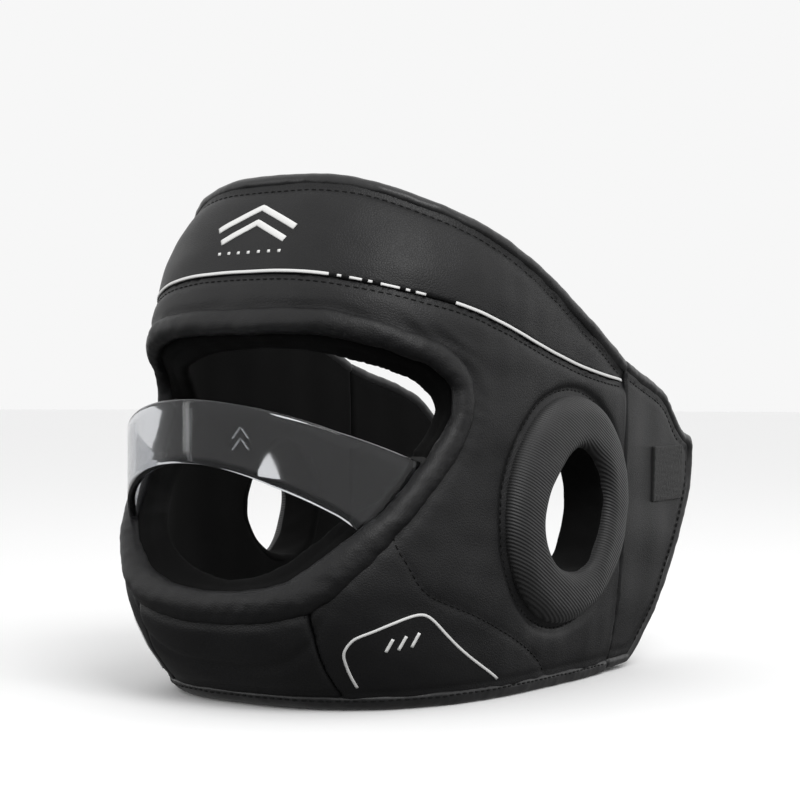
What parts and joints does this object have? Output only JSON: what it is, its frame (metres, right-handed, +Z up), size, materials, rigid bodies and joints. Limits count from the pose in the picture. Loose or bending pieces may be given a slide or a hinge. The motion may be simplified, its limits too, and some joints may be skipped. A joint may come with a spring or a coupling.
{
  "type": "boxing headgear",
  "caption": "Padded full-face boxing headgear with an open crown, a clear nose bar across the face opening, raised ear rings with ear holes and two hinged rear wings.",
  "frame": {"origin": "middle of the bounding box at the floor, under the hem", "axes": "+X to the wearer's left, -Y out of the face opening, +Y to the rear wings, +Z up through the open crown"},
  "size_m": [0.22, 0.3425, 0.2519],
  "materials": {
    "leathercloth": "matt grained",
    "padding": "matt",
    "lining": "matt brushed",
    "satin_binding": "satin",
    "ribbed_mesh": "ribbed",
    "clear_bar": "clear polished",
    "sleeve_plastic": "matt",
    "rivet_steel": "brushed",
    "white_piping": "satin",
    "loop_pile": "pile",
    "hook_tape": "hook tape",
    "strap_web": "woven"
  },
  "bodies": {
    "shell": {"forehead_cover": "leathercloth", "face_cover_left": "leathercloth", "face_cover_right": "leathercloth", "chin_cover": "leathercloth", "forehead_foam": "padding", "brow_foam": "padding", "chin_foam": "padding", "cheek_foam_left": "padding", "cheek_foam_right": "padding", "forehead_liner": "lining", "chin_liner": "lining", "cheek_liner_left": "lining", "cheek_liner_right": "lining", "opening_roll": "leathercloth", "piping": "white_piping", "rim_binding": "satin_binding", "hem_binding": "satin_binding", "ear_ring_left": "ribbed_mesh", "ear_ring_right": "ribbed_mesh", "ear_lining_left": "lining", "ear_lining_right": "lining", "nose_bar": "clear_bar", "bar_sleeve_left": "sleeve_plastic", "bar_sleeve_right": "sleeve_plastic", "bar_rivets": "rivet_steel"},
    "wing_left": {"wing_cover_left": "leathercloth", "wing_foam_left": "padding", "wing_liner_left": "lining", "wing_binding_left": "satin_binding", "loop_patch": "loop_pile"},
    "wing_right": {"wing_cover_right": "leathercloth", "wing_foam_right": "padding", "wing_liner_right": "lining", "wing_binding_right": "satin_binding", "strap_tab": "strap_web"},
    "strap": {"closure_strap": "strap_web", "hook_patch": "hook_tape"}
  },
  "joints": [
    {"name": "wing_left_fold", "type": "hinge", "parent": "shell", "child": "wing_left", "pos_m": [0.0788, 0.076, 0], "axis": [0.0678, 0, 0.9977], "range_deg": [-20, 45], "stiffness_Nm_per_rad": 0.4},
    {"name": "wing_right_fold", "type": "hinge", "parent": "shell", "child": "wing_right", "pos_m": [-0.0788, 0.076, 0], "axis": [0.0678, 0, -0.9977], "range_deg": [-20, 45], "stiffness_Nm_per_rad": 0.4},
    {"name": "closure_strap_fold", "type": "hinge", "parent": "wing_right", "child": "strap", "pos_m": [-0.0902, 0.1705, 0.106], "axis": [0, 0, -1], "range_deg": [0, 215]}
  ]
}
